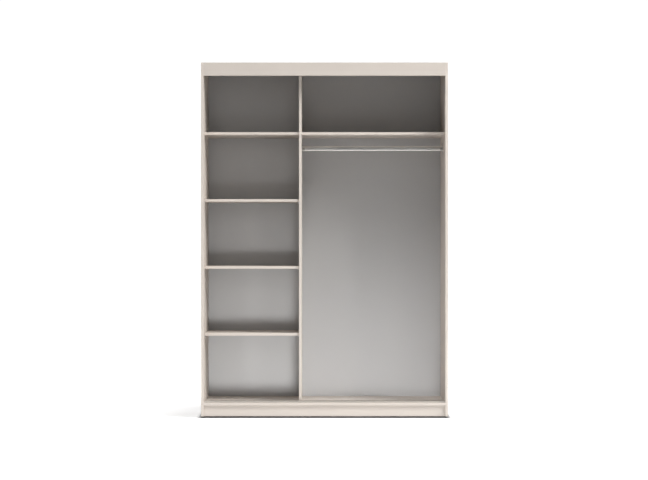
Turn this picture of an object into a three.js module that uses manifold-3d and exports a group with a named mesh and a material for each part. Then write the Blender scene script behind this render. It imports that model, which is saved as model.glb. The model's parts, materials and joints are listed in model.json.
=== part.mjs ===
// An open wardrobe carcass for sliding doors: a narrow bay of shelves on the left, a hanging bay
// on the right, and the empty door tracks.
// Millimetres, +Z up, +X to the right, the front faces -Y. The origin is on the floor, under the
// middle of the carcass.

import * as THREE from 'three';
import { mergeVertices } from 'three/addons/utils/BufferGeometryUtils.js';
import Module from 'manifold-3d';

const wasm = await Module();
wasm.setup();

// ---------------------------------------------------------------- driving dimensions

const WIDTH = 1500;
const HEIGHT = 2158;
const DEPTH = 600;
const BOARD = 16; // thickness of every laminated board
const BACK_SHEET = 3; // thickness of the back sheets
const GLIDE_HEIGHT = 8;
const PLINTH_HEIGHT = 68;
const PLINTH_SETBACK = 16;
const FASCIA_HEIGHT = 80;
const LEFT_BAY = 578; // clear width of the left bay
const LEFT_BAYS = 5; // compartments one above the other in the left bay
const DOOR_ZONE = 100; // depth in front of the divider, where doors would slide
const SHELF_SETBACK = 10; // shelf fronts behind the divider's front
const SHELF_PLAY = 1; // a loose shelf's gap at each side and behind
const DOOR_PITCH = 36; // from the front door's middle plane to the rear door's
const TRACK_WALL = 2;
const TRACK_GAP = 3; // from the fascia to the top track
const TOP_TRACK_HEIGHT = 40;
const TOP_TRACK_LIP = 8;
const BOTTOM_TRACK_HEIGHT = 9;
const ROD_HEIGHT = 30;
const ROD_WIDTH = 15;
const ROD_WALL = 1.2;
const ROD_DROP = 77; // rod's middle below the shelf above it
const GAP = 0.3; // clearance round every fastener

// ---------------------------------------------------------------- planes worked out from them

const left = -WIDTH / 2;
const right = WIDTH / 2;
const front = -DEPTH / 2;
const rear = DEPTH / 2;
const boardRear = rear - BACK_SHEET;
const innerLeft = left + BOARD;
const innerRight = right - BOARD;
const bottomUnder = GLIDE_HEIGHT + PLINTH_HEIGHT;
const bottomTop = bottomUnder + BOARD;
const topUnder = HEIGHT - BOARD;
const fasciaUnder = HEIGHT - FASCIA_HEIGHT;
const fasciaRear = front + BOARD;
const plinthFront = front + PLINTH_SETBACK;
const plinthRear = plinthFront + BOARD;
const rearPlinthFront = boardRear - BOARD;
const dividerLeft = innerLeft + LEFT_BAY;
const dividerRight = dividerLeft + BOARD;
const dividerMiddle = (dividerLeft + dividerRight) / 2;
const dividerFront = front + DOOR_ZONE;
const shelfFront = dividerFront + SHELF_SETBACK;
const shelfPitch = (topUnder - bottomTop) / LEFT_BAYS;
const trackFront = fasciaRear + TRACK_GAP;
const trackWidth = 2 * DOOR_PITCH + TRACK_WALL;
const frontDoorLine = trackFront + (DOOR_PITCH + TRACK_WALL) / 2;
const rearDoorLine = frontDoorLine + DOOR_PITCH;

// Underside of the shelf that closes a compartment, counted from the bottom panel.
function shelfUnder(level) {
  return bottomTop + level * shelfPitch - BOARD / 2;
}

const topShelfMiddle = shelfUnder(LEFT_BAYS - 1) + BOARD / 2;
const shelfMiddleDepth = (shelfFront + boardRear) / 2;
const looseShelves = { lower: 1, middle: 2, upper: 3 };
const rodMiddle = shelfUnder(LEFT_BAYS - 1) - ROD_DROP;

// ---------------------------------------------------------------- finishes

function finish(color, roughness, metalness = 0) {
  return new THREE.MeshStandardMaterial({ color, roughness, metalness });
}

const laminate = finish('#ddd3c9', 0.5);
const backSheet = finish('#d4d3d1', 0.55);
const anodised = finish('#d9d2c8', 0.35, 0.8);
const chrome = finish('#c9c9c7', 0.15, 1);
const castZinc = finish('#c4c4c1', 0.3, 0.9);
const zincPlate = finish('#b9bcbf', 0.35, 1);
const glidePlastic = finish('#2c2b2a', 0.6);

// ---------------------------------------------------------------- geometry helpers

const X = new THREE.Vector3(1, 0, 0);
const Y = new THREE.Vector3(0, 1, 0);
const Z = new THREE.Vector3(0, 0, 1);

// Only positions, with shared corners merged.
function bare(geometry) {
  geometry.deleteAttribute('normal');
  geometry.deleteAttribute('uv');
  return mergeVertices(geometry, 1e-4);
}

function toSolid(geometry) {
  const clean = bare(geometry.clone());
  const vertProperties = new Float32Array(clean.attributes.position.array);
  const triVerts = new Uint32Array(clean.index.array);
  return new wasm.Manifold(new wasm.Mesh({ numProp: 3, vertProperties, triVerts }));
}

function toGeometry(solid) {
  const mesh = solid.getMesh();
  const geometry = new THREE.BufferGeometry();
  geometry.setAttribute('position', new THREE.BufferAttribute(new Float32Array(mesh.vertProperties), 3));
  geometry.setIndex(new THREE.BufferAttribute(new Uint32Array(mesh.triVerts), 1));
  return geometry;
}

// A block between two corners.
function block(low, high) {
  const geometry = new THREE.BoxGeometry(high[0] - low[0], high[1] - low[1], high[2] - low[2]);
  return geometry.translate((low[0] + high[0]) / 2, (low[1] + high[1]) / 2, (low[2] + high[2]) / 2);
}

// A turned shape about its own +Z axis. The profile is a list of [radius, height] points,
// from the low end to the high end.
function turned(profile, sides) {
  const points = profile.map(([radius, height]) => new THREE.Vector2(radius, height));
  return new THREE.LatheGeometry(points, sides, Math.PI / sides).rotateX(Math.PI / 2);
}

// The same shape with clearance all round, for drilling its hole. The low end runs on by headroom.
function drillProfile(profile, headroom) {
  const heights = profile.map(([, height]) => height);
  const low = Math.min(...heights);
  const high = Math.max(...heights);
  return profile.map(([radius, height]) => {
    const wider = radius === 0 ? 0 : radius + GAP;
    if (height === low) {
      return [wider, low - headroom];
    }
    return height === high ? [wider, high + GAP] : [wider, height];
  });
}

// Moves a shape modelled along +Z so that it starts at a point and runs along a direction.
function placed(geometry, start, direction) {
  const side = Math.abs(direction.z) > 0.5 ? X : Z;
  const other = new THREE.Vector3().crossVectors(direction, side);
  const matrix = new THREE.Matrix4().makeBasis(side, other, direction);
  matrix.setPosition(start[0], start[1], start[2]);
  return geometry.clone().applyMatrix4(matrix);
}

function offset(point, direction, distance) {
  return [
    point[0] + direction.x * distance,
    point[1] + direction.y * distance,
    point[2] + direction.z * distance,
  ];
}

// ---------------------------------------------------------------- pieces and their holes

const wardrobe = new THREE.Group();
const holes = new Map(); // node name -> shapes to be drilled out of it

function drill(node, cutter) {
  holes.set(node, [...(holes.get(node) ?? []), cutter]);
}

function addMesh(name, geometry, material) {
  const mesh = new THREE.Mesh(geometry, material.clone());
  mesh.name = name;
  wardrobe.add(mesh);
}

// A piece with every hole drilled that its fasteners asked for.
function addDrilled(name, geometry, material) {
  let solid = toSolid(geometry);
  for (const cutter of holes.get(name) ?? []) {
    solid = solid.subtract(toSolid(cutter));
  }
  addMesh(name, toGeometry(solid), material);
}

// ---------------------------------------------------------------- fasteners

const CAM = { radius: 7.2, height: 12, setback: 24, sides: 8 };
const CAM_BOLT = { neck: 2, shank: 3.3, thread: 2.4, inReceiver: 11, sides: 6 };
const LONG_SCREW = { head: 5, headHeight: 4, shank: 3.5, thread: 2.5, length: 50, sides: 8 };
const PIN = { inPanel: 8, hidden: 2.5, shown: 3.5, stub: 9, sides: 8 };
const HEADROOM = 1; // how far a drilled hole runs on past the face that it opens in

const LEFT = X.clone().negate();
const DOWN = Z.clone().negate();
const FORWARD = Y.clone().negate();

// A cam lock with its bolt gripped in it, as one piece. The lock lies in the holder's face that
// looks along faceDirection. The bolt runs from the lock's middle along direction, across the
// joint at the point and into the receiver.
function camFitting(name, holder, receiver, point, direction, faceDirection) {
  const middle = offset(point, direction, -CAM.setback);
  const neckEnd = CAM.radius + 1;
  const boltEnd = CAM.setback + CAM_BOLT.inReceiver;
  const bolt = [
    [0, 0],
    [CAM_BOLT.neck, 0],
    [CAM_BOLT.neck, neckEnd],
    [CAM_BOLT.shank, neckEnd],
    [CAM_BOLT.shank, CAM.setback],
    [CAM_BOLT.thread, CAM.setback],
    [CAM_BOLT.thread, boltEnd],
    [0, boltEnd],
  ];
  const lock = [[0, 0], [CAM.radius, 0], [CAM.radius, CAM.height], [0, CAM.height]];
  const lockStart = offset(middle, faceDirection, BOARD / 2 - GAP);
  const inward = faceDirection.clone().negate();
  const body = toSolid(placed(turned(lock, CAM.sides), lockStart, inward));
  const joined = body.add(toSolid(placed(turned(bolt, CAM_BOLT.sides), middle, direction)));
  addMesh(name, toGeometry(joined), castZinc);

  const boltHole = bolt.filter(([radius]) => radius !== CAM_BOLT.neck);
  boltHole.splice(1, 1, [CAM_BOLT.shank, 0]);
  const boltCutter = placed(turned(drillProfile(boltHole, 0), CAM_BOLT.sides), middle, direction);
  drill(holder, boltCutter);
  drill(receiver, boltCutter);
  drill(holder, placed(turned(drillProfile(lock, HEADROOM), CAM.sides), lockStart, inward));
}

// A long connecting screw, its head level with the face at the point.
function longScrew(name, point, direction, pieces) {
  const profile = [
    [0, 0],
    [LONG_SCREW.head, 0],
    [LONG_SCREW.head, LONG_SCREW.headHeight - 1.5],
    [LONG_SCREW.shank, LONG_SCREW.headHeight],
    [LONG_SCREW.shank, BOARD],
    [LONG_SCREW.thread, BOARD + 1],
    [LONG_SCREW.thread, LONG_SCREW.length],
    [0, LONG_SCREW.length],
  ];
  addMesh(name, placed(turned(profile, LONG_SCREW.sides), point, direction), zincPlate);
  const cutter = placed(turned(drillProfile(profile, HEADROOM), LONG_SCREW.sides), point, direction);
  for (const piece of pieces) {
    drill(piece, cutter);
  }
}

// The profile of a countersunk screw, from its head down.
function countersunk({ head, shank, length }) {
  const rim = 0.3;
  return [[0, 0], [head, 0], [head, rim], [shank, rim + head - shank], [shank, length], [0, length]];
}

// A countersunk hole for a small screw, in the piece under its head.
function countersink(kind, point, direction, piece) {
  const cutter = turned(drillProfile(countersunk(kind), HEADROOM), kind.sides);
  drill(piece, placed(cutter, point, direction));
}

// One fitting at each end of a board between two uprights.
function fitBothEnds(label, board, uprights, ends, depth, height, faceDirection) {
  camFitting(`cam_fitting_${label[0]}`, board, uprights[0], [ends[0], depth, height], LEFT, faceDirection);
  camFitting(`cam_fitting_${label[1]}`, board, uprights[1], [ends[1], depth, height], X, faceDirection);
}

function joinCarcass() {
  const sides = ['left_side_panel', 'right_side_panel'];
  const ends = [innerLeft, innerRight];
  const inset = 80;
  for (const [place, depth] of [['front', dividerFront + inset], ['rear', boardRear - inset]]) {
    const top = [`top_left_${place}`, `top_right_${place}`];
    const bottom = [`bottom_left_${place}`, `bottom_right_${place}`];
    fitBothEnds(top, 'top_panel', sides, ends, depth, HEIGHT - BOARD / 2, Z);
    fitBothEnds(bottom, 'bottom_panel', sides, ends, depth, bottomTop - BOARD / 2, DOWN);
  }
}

// The two fixed shelves meet the divider at one height, so their fittings lie at two depths.
function joinFixedShelves() {
  const leftUprights = ['left_side_panel', 'divider_panel'];
  const rightUprights = ['divider_panel', 'right_side_panel'];
  const spread = 25;
  fitBothEnds(['left_shelf_left', 'left_shelf_right'], 'left_fixed_shelf', leftUprights,
    [innerLeft, dividerLeft], shelfMiddleDepth - spread, topShelfMiddle, DOWN);
  fitBothEnds(['right_shelf_left', 'right_shelf_right'], 'right_fixed_shelf', rightUprights,
    [dividerRight, innerRight], shelfMiddleDepth + spread, topShelfMiddle, DOWN);
}

function joinDivider() {
  const inset = 60;
  for (const [place, depth] of [['front', dividerFront + inset], ['rear', boardRear - inset]]) {
    longScrew(`divider_screw_top_${place}`, [dividerMiddle, depth, HEIGHT], DOWN,
      ['top_panel', 'divider_panel']);
    longScrew(`divider_screw_bottom_${place}`, [dividerMiddle, depth, bottomUnder], Z,
      ['bottom_panel', 'divider_panel']);
  }
}

// Four pins under every loose shelf, whose underside is just above them.
function pinLooseShelves() {
  const profile = [
    [0, 0],
    [PIN.hidden, 0],
    [PIN.hidden, PIN.inPanel],
    [PIN.shown, PIN.inPanel],
    [PIN.shown, PIN.inPanel + PIN.stub],
    [0, PIN.inPanel + PIN.stub],
  ];
  const bore = [[0, 0], [PIN.hidden, 0], [PIN.hidden, PIN.inPanel], [0, PIN.inPanel]];
  const supports = [['left', innerLeft, X, 'left_side_panel'], ['right', dividerLeft, LEFT, 'divider_panel']];
  const depths = [['front', shelfFront + 37], ['rear', boardRear - 60]];
  for (const [shelf, level] of Object.entries(looseShelves)) {
    const height = shelfUnder(level) - PIN.shown;
    for (const [side, face, direction, panel] of supports) {
      for (const [place, depth] of depths) {
        const start = offset([face, depth, height], direction, -PIN.inPanel);
        const pin = placed(turned(profile, PIN.sides), start, direction);
        addMesh(`shelf_pin_${shelf}_${side}_${place}`, pin, zincPlate);
        drill(panel, placed(turned(drillProfile(bore, GAP), PIN.sides), start, direction));
      }
    }
  }
}

// ---------------------------------------------------------------- boards

function shelfBox(lowX, highX, level, play) {
  const under = shelfUnder(level);
  return [[lowX + play, shelfFront, under], [highX - play, boardRear - play, under + BOARD]];
}

const boards = {
  left_side_panel: [[left, front, GLIDE_HEIGHT], [innerLeft, boardRear, HEIGHT]],
  right_side_panel: [[innerRight, front, GLIDE_HEIGHT], [right, boardRear, HEIGHT]],
  top_panel: [[innerLeft, fasciaRear, topUnder], [innerRight, boardRear, HEIGHT]],
  top_fascia: [[innerLeft, front, fasciaUnder], [innerRight, fasciaRear, HEIGHT]],
  bottom_panel: [[innerLeft, front, bottomUnder], [innerRight, boardRear, bottomTop]],
  front_plinth: [[innerLeft, plinthFront, GLIDE_HEIGHT], [innerRight, plinthRear, bottomUnder]],
  rear_plinth: [[innerLeft, rearPlinthFront, GLIDE_HEIGHT], [innerRight, boardRear, bottomUnder]],
  plinth_support: [[dividerLeft, plinthRear, GLIDE_HEIGHT], [dividerRight, rearPlinthFront, bottomUnder]],
  divider_panel: [[dividerLeft, dividerFront, bottomTop], [dividerRight, boardRear, topUnder]],
  left_fixed_shelf: shelfBox(innerLeft, dividerLeft, LEFT_BAYS - 1, 0),
  right_fixed_shelf: shelfBox(dividerRight, innerRight, LEFT_BAYS - 1, 0),
};

function addBoards() {
  for (const [name, [low, high]] of Object.entries(boards)) {
    addDrilled(name, block(low, high), laminate);
  }
  for (const [shelf, level] of Object.entries(looseShelves)) {
    const [low, high] = shelfBox(innerLeft, dividerLeft, level, SHELF_PLAY);
    addDrilled(`${shelf}_left_shelf`, block(low, high), laminate);
  }
}

// ---------------------------------------------------------------- back sheets

const SHEET_SCREW = { head: 3, shank: 1.25, length: 16, sides: 6 };
const SHEET_MARGIN = 1; // sheets end this far inside the carcass edges
const SHEET_JOINT = 1; // gap between the two sheets on the divider

const sheets = {
  left_back_sheet: [left + SHEET_MARGIN, dividerMiddle - SHEET_JOINT / 2],
  right_back_sheet: [dividerMiddle + SHEET_JOINT / 2, right - SHEET_MARGIN],
};

// Screw holes up both long edges of each sheet, and across it at the bottom, shelf and top.
function drillSheets() {
  const upright = [130, 620, 1110, 1600, 2090];
  const across = [bottomTop - BOARD / 2, topShelfMiddle, HEIGHT - BOARD / 2];
  const nextToJoint = 4.5;
  const columns = [
    ['left_back_sheet', left + BOARD / 2, upright],
    ['left_back_sheet', dividerMiddle - nextToJoint, upright],
    ['right_back_sheet', dividerMiddle + nextToJoint, upright],
    ['right_back_sheet', right - BOARD / 2, upright],
    ['left_back_sheet', (innerLeft + dividerLeft) / 2, across],
    ['right_back_sheet', (2 * dividerRight + innerRight) / 3, across],
    ['right_back_sheet', (dividerRight + 2 * innerRight) / 3, across],
  ];
  for (const [sheet, place, heights] of columns) {
    for (const height of heights) {
      countersink(SHEET_SCREW, [place, rear, height], FORWARD, sheet);
    }
  }
}

function addSheets() {
  for (const [name, [low, high]] of Object.entries(sheets)) {
    const box = block([low, boardRear, bottomUnder + SHEET_MARGIN], [high, rear, HEIGHT - SHEET_MARGIN]);
    addDrilled(name, box, backSheet);
  }
}

// ---------------------------------------------------------------- door tracks

const TRACK_SCREW = { head: 3.5, shank: 1.75, length: 14, sides: 8 };

// Extrudes a section, drawn as [depth, height] points, along the clear width between the sides.
function alongWidth(section) {
  const shape = new THREE.Shape(section.map(([depth, height]) => new THREE.Vector2(depth, height)));
  const geometry = new THREE.ExtrudeGeometry(shape, { depth: innerRight - innerLeft, bevelEnabled: false });
  const matrix = new THREE.Matrix4().makeBasis(Y, Z, X);
  matrix.setPosition(innerLeft, 0, 0);
  return geometry.applyMatrix4(matrix);
}

// A low guide with two open grooves, lying on the bottom panel.
function bottomTrackSection() {
  const floor = bottomTop + TRACK_WALL;
  const top = bottomTop + BOTTOM_TRACK_HEIGHT;
  const section = [[trackFront, bottomTop], [trackFront + trackWidth, bottomTop]];
  for (const rib of [2, 1, 0]) {
    const ribFront = trackFront + rib * DOOR_PITCH;
    const ribRear = ribFront + TRACK_WALL;
    if (rib < 2) {
      section.push([ribRear, floor]);
    }
    section.push([ribRear, top], [ribFront, top]);
    if (rib > 0) {
      section.push([ribFront, floor]);
    }
  }
  return section;
}

// Two C-shaped channels side by side under the top panel, each with a slot between two lips.
function topTrackSection() {
  const roof = topUnder - TRACK_WALL;
  const lipTop = topUnder - TOP_TRACK_HEIGHT + TRACK_WALL;
  const lipUnder = topUnder - TOP_TRACK_HEIGHT;
  const section = [[trackFront + trackWidth, topUnder], [trackFront, topUnder]];
  for (const web of [0, 1, 2]) {
    const webFront = trackFront + web * DOOR_PITCH;
    const webRear = webFront + TRACK_WALL;
    if (web > 0) {
      section.push([webFront, roof], [webFront, lipTop], [webFront - TOP_TRACK_LIP, lipTop]);
      section.push([webFront - TOP_TRACK_LIP, lipUnder]);
    } else {
      section.push([webFront, lipUnder]);
    }
    if (web < 2) {
      section.push([webRear + TOP_TRACK_LIP, lipUnder], [webRear + TOP_TRACK_LIP, lipTop]);
      section.push([webRear, lipTop], [webRear, roof]);
    } else {
      section.push([webRear, lipUnder]);
    }
  }
  return section;
}

function drillTracks() {
  for (const [across, depth] of [[-600, frontDoorLine], [-60, rearDoorLine], [600, frontDoorLine]]) {
    countersink(TRACK_SCREW, [across, depth, topUnder - TRACK_WALL], Z, 'top_track');
    countersink(TRACK_SCREW, [across, depth, bottomTop + TRACK_WALL], DOWN, 'bottom_track');
  }
}

function addTracks() {
  addDrilled('top_track', alongWidth(topTrackSection()), anodised);
  addDrilled('bottom_track', alongWidth(bottomTrackSection()), anodised);
}

// ---------------------------------------------------------------- hanging rod and brackets

const BRACKET = {
  plate: 2.5, // thickness of the plate on the panel
  reach: 16.5, // from the panel to the cup's open end
  wall: 2,
  halfWidth: 13,
  under: 35, // plate's lower end below the rod's middle
  over: 33, // plate's upper end above it
  cupTop: 5,
  screwRise: 26,
};
const BRACKET_SCREW = { head: 3.5, shank: 1.75, length: 14, sides: 8 };
const ROD_CLEARANCE = 0.3;
const ARC_SEGMENTS = 6; // along each round stretch of the rod and its brackets
const rodDepth = (dividerFront + rear) / 2 - 50;
const rodHalfStraight = (ROD_HEIGHT - ROD_WIDTH) / 2;

// An upright oval outline: straight flanks with a half-round at the top and at the bottom.
function ovalPath(target, radius) {
  target.absarc(0, rodHalfStraight, radius, 0, Math.PI);
  target.absarc(0, -rodHalfStraight, radius, Math.PI, 2 * Math.PI);
  target.closePath();
  return target;
}

// Extrudes an outline in the depth-height plane along +X or -X, from a face at the rod's level.
function outFromFace(shape, length, face, direction) {
  const options = { depth: length, bevelEnabled: false, curveSegments: ARC_SEGMENTS };
  const geometry = new THREE.ExtrudeGeometry(shape, options);
  const across = Y.clone().multiplyScalar(direction);
  const matrix = new THREE.Matrix4().makeBasis(across, Z, X.clone().multiplyScalar(direction));
  matrix.setPosition(face, rodDepth, rodMiddle);
  return geometry.applyMatrix4(matrix);
}

// The outline of the open-topped cup that the rod's end drops into.
function cupShape() {
  const inner = ROD_WIDTH / 2 + ROD_CLEARANCE;
  const outer = inner + BRACKET.wall;
  const shape = new THREE.Shape();
  shape.moveTo(-outer, BRACKET.cupTop);
  shape.lineTo(-outer, -rodHalfStraight);
  shape.absarc(0, -rodHalfStraight, outer, Math.PI, 2 * Math.PI);
  shape.lineTo(outer, BRACKET.cupTop);
  shape.lineTo(inner, BRACKET.cupTop);
  shape.lineTo(inner, -rodHalfStraight);
  shape.absarc(0, -rodHalfStraight, inner, 2 * Math.PI, Math.PI, true);
  shape.lineTo(-inner, BRACKET.cupTop);
  shape.closePath();
  return shape;
}

function plateShape() {
  const corner = 6;
  const { halfWidth, under, over } = BRACKET;
  const shape = new THREE.Shape();
  shape.absarc(halfWidth - corner, over - corner, corner, 0, Math.PI / 2);
  shape.absarc(-halfWidth + corner, over - corner, corner, Math.PI / 2, Math.PI);
  shape.absarc(-halfWidth + corner, -under + corner, corner, Math.PI, 1.5 * Math.PI);
  shape.absarc(halfWidth - corner, -under + corner, corner, 1.5 * Math.PI, 2 * Math.PI);
  shape.closePath();
  return shape;
}

function bracketGeometry(face, direction) {
  const plate = toSolid(outFromFace(plateShape(), BRACKET.plate, face, direction));
  const inPlate = BRACKET.plate / 2;
  const cupFace = face + direction * inPlate;
  const cup = toSolid(outFromFace(cupShape(), BRACKET.reach - inPlate, cupFace, direction));
  return toGeometry(plate.add(cup));
}

const brackets = {
  left: { face: dividerRight, direction: 1, panel: 'divider_panel' },
  right: { face: innerRight, direction: -1, panel: 'right_side_panel' },
};

function screwBrackets() {
  const profile = countersunk(BRACKET_SCREW);
  for (const [side, { face, direction, panel }] of Object.entries(brackets)) {
    for (const [place, rise] of [['upper', BRACKET.screwRise], ['lower', -BRACKET.screwRise]]) {
      const point = [face + direction * BRACKET.plate, rodDepth, rodMiddle + rise];
      const inward = X.clone().multiplyScalar(-direction);
      const sides = BRACKET_SCREW.sides;
      addMesh(`${side}_bracket_screw_${place}`, placed(turned(profile, sides), point, inward), zincPlate);
      const cutter = placed(turned(drillProfile(profile, HEADROOM), sides), point, inward);
      drill(`${side}_rod_bracket`, cutter);
      drill(panel, cutter);
    }
  }
}

function addRodAndBrackets() {
  for (const [side, { face, direction }] of Object.entries(brackets)) {
    addDrilled(`${side}_rod_bracket`, bracketGeometry(face, direction), castZinc);
  }
  const start = dividerRight + BRACKET.plate + ROD_CLEARANCE;
  const end = innerRight - BRACKET.plate - ROD_CLEARANCE;
  const outline = ovalPath(new THREE.Shape(), ROD_WIDTH / 2);
  outline.holes.push(ovalPath(new THREE.Path(), ROD_WIDTH / 2 - ROD_WALL));
  addMesh('hanging_rod', outFromFace(outline, end - start, start, 1), chrome);
}

// ---------------------------------------------------------------- glides

const GLIDE = { radius: 8, foot: 7, chamfer: 1, recess: 3.6, recessDepth: 1.6, sides: 10 };
const NAIL = { shank: 1.2, inBoard: 18 };

// A round plastic foot with its nail moulded in, under the bottom edge of a board.
function glide(name, board, across, depth) {
  const tip = GLIDE_HEIGHT + NAIL.inBoard;
  const profile = [
    [0, GLIDE.recessDepth],
    [GLIDE.recess, GLIDE.recessDepth],
    [GLIDE.recess, 0],
    [GLIDE.foot, 0],
    [GLIDE.radius, GLIDE.chamfer],
    [GLIDE.radius, GLIDE_HEIGHT],
    [NAIL.shank, GLIDE_HEIGHT],
    [NAIL.shank, tip],
    [0, tip],
  ];
  addMesh(name, placed(turned(profile, GLIDE.sides), [across, depth, 0], Z), glidePlastic);
  const hole = [[0, GLIDE_HEIGHT], [NAIL.shank, GLIDE_HEIGHT], [NAIL.shank, tip], [0, tip]];
  drill(board, placed(turned(drillProfile(hole, HEADROOM), GLIDE.sides), [across, depth, 0], Z));
}

function placeGlides() {
  const inset = 40;
  for (const [place, depth] of [['front', front + inset], ['rear', boardRear - inset]]) {
    glide(`glide_left_${place}`, 'left_side_panel', left + BOARD / 2, depth);
    glide(`glide_right_${place}`, 'right_side_panel', right - BOARD / 2, depth);
    glide(`glide_support_${place}`, 'plinth_support', dividerMiddle, depth);
  }
}

// ---------------------------------------------------------------- assembly

joinCarcass();
joinFixedShelves();
joinDivider();
pinLooseShelves();
drillSheets();
drillTracks();
screwBrackets();
placeGlides();

addBoards();
addSheets();
addTracks();
addRodAndBrackets();

export default wardrobe;
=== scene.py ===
"""The looks of an open wardrobe carcass for sliding doors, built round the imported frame.

Metres, +Z up, the front faces -Y. Places come from the frame's boxes, apart from the rows of
small screws in the back sheets and the tracks. Small lengths are in millimetres, times MM.
"""

import json
import math

import bmesh
import bpy
from mathutils import Matrix, Vector


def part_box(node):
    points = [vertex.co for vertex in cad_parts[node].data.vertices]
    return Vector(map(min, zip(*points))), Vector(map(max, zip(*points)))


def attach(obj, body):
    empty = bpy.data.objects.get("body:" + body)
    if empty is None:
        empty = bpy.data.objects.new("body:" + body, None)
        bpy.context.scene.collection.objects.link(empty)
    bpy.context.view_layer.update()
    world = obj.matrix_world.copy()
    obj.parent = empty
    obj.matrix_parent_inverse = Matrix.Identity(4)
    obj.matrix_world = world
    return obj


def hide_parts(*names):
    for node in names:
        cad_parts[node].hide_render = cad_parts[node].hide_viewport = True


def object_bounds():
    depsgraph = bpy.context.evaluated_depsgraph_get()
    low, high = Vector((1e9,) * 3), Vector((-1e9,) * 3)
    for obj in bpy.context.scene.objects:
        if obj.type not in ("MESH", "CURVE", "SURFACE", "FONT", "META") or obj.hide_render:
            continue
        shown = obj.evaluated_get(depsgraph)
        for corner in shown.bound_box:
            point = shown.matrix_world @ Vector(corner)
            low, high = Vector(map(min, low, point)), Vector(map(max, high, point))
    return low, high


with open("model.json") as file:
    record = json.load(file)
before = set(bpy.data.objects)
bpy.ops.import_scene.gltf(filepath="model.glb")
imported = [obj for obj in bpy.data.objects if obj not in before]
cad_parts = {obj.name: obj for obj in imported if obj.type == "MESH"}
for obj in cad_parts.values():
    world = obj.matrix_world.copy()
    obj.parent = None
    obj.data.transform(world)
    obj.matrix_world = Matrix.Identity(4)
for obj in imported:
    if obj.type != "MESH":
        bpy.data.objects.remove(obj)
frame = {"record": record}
CAD_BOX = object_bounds()

MM = 0.001
X = Vector((1, 0, 0))
Y = Vector((0, 1, 0))
Z = Vector((0, 0, 1))

RECORD = frame["record"]
BODY_OF = {node: body for body, nodes in RECORD["behaviour"]["bodies"].items() for node in nodes}

# ---------------------------------------------------------------- procedural surfaces


class Surface:
    """A Principled material being built, with short calls for its procedural nodes."""

    def __init__(self, name, colour, roughness, metallic=0.0):
        self.material = bpy.data.materials.new(name)
        self.material.use_nodes = True
        self.tree = self.material.node_tree
        self.shader = self.tree.nodes["Principled BSDF"]
        self.shader.inputs["Base Color"].default_value = (*colour, 1.0)
        self.shader.inputs["Roughness"].default_value = roughness
        self.shader.inputs["Metallic"].default_value = metallic
        self.place = self.add("ShaderNodeTexCoord").outputs["Object"]

    def add(self, kind, **inputs):
        node = self.tree.nodes.new(kind)
        for key, value in inputs.items():
            self.feed(node.inputs[key.replace("_", " ")], value)
        return node

    def feed(self, socket, value):
        if isinstance(value, bpy.types.NodeSocket):
            self.tree.links.new(value, socket)
        else:
            socket.default_value = value

    def stretched(self, scale):
        """The object's coordinates, in metres, times a scale along each axis."""
        node = self.add("ShaderNodeMapping", Vector=self.place)
        node.inputs["Scale"].default_value = scale
        return node.outputs["Vector"]

    def noise(self, scale, detail=2.0, rough=0.5):
        """A cloud pattern from 0 to 1. The scale is per metre, one number or one for each axis."""
        if isinstance(scale, tuple):
            node = self.add("ShaderNodeTexNoise", Vector=self.stretched(scale), Scale=1.0)
        else:
            node = self.add("ShaderNodeTexNoise", Vector=self.place, Scale=scale)
        self.feed(node.inputs["Detail"], detail)
        self.feed(node.inputs["Roughness"], rough)
        return node.outputs["Fac"]

    def cells(self, scale, output="Distance"):
        """A pattern of cells, about 1/scale metres across."""
        if isinstance(scale, tuple):
            node = self.add("ShaderNodeTexVoronoi", Vector=self.stretched(scale), Scale=1.0)
        else:
            node = self.add("ShaderNodeTexVoronoi", Vector=self.place, Scale=scale)
        return node.outputs[output]

    def spread(self, value, low, high, start=0.0, end=1.0):
        """Maps start..end of a pattern to low..high."""
        node = self.add("ShaderNodeMapRange", Value=value)
        node.inputs["From Min"].default_value = start
        node.inputs["From Max"].default_value = end
        node.inputs["To Min"].default_value = low
        node.inputs["To Max"].default_value = high
        return node.outputs["Result"]

    def sum(self, first, second, operation="ADD"):
        node = self.add("ShaderNodeMath")
        node.operation = operation
        self.feed(node.inputs[0], first)
        self.feed(node.inputs[1], second)
        return node.outputs["Value"]

    def blend(self, factor, first, second):
        """A colour between two colours."""
        node = self.add("ShaderNodeMix")
        node.data_type = "RGBA"
        self.feed(node.inputs["Factor"], factor)
        for socket, value in ((node.inputs[6], first), (node.inputs[7], second)):
            self.feed(socket, value if isinstance(value, bpy.types.NodeSocket) else (*value, 1.0))
        return node.outputs[2]

    def colour(self, socket):
        self.feed(self.shader.inputs["Base Color"], socket)

    def rough(self, socket):
        self.feed(self.shader.inputs["Roughness"], socket)

    def bump(self, height, depth, strength=1.0):
        """Raises the surface by up to depth metres where the pattern is 1."""
        node = self.add("ShaderNodeBump", Height=height, Strength=strength, Distance=depth)
        self.feed(self.shader.inputs["Normal"], node.outputs["Normal"])


def tinted(colour, factor):
    return tuple(channel * factor for channel in colour)


BEIGE = (0.640, 0.580, 0.525)
PALE_GREY = (0.405, 0.402, 0.401)


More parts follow.
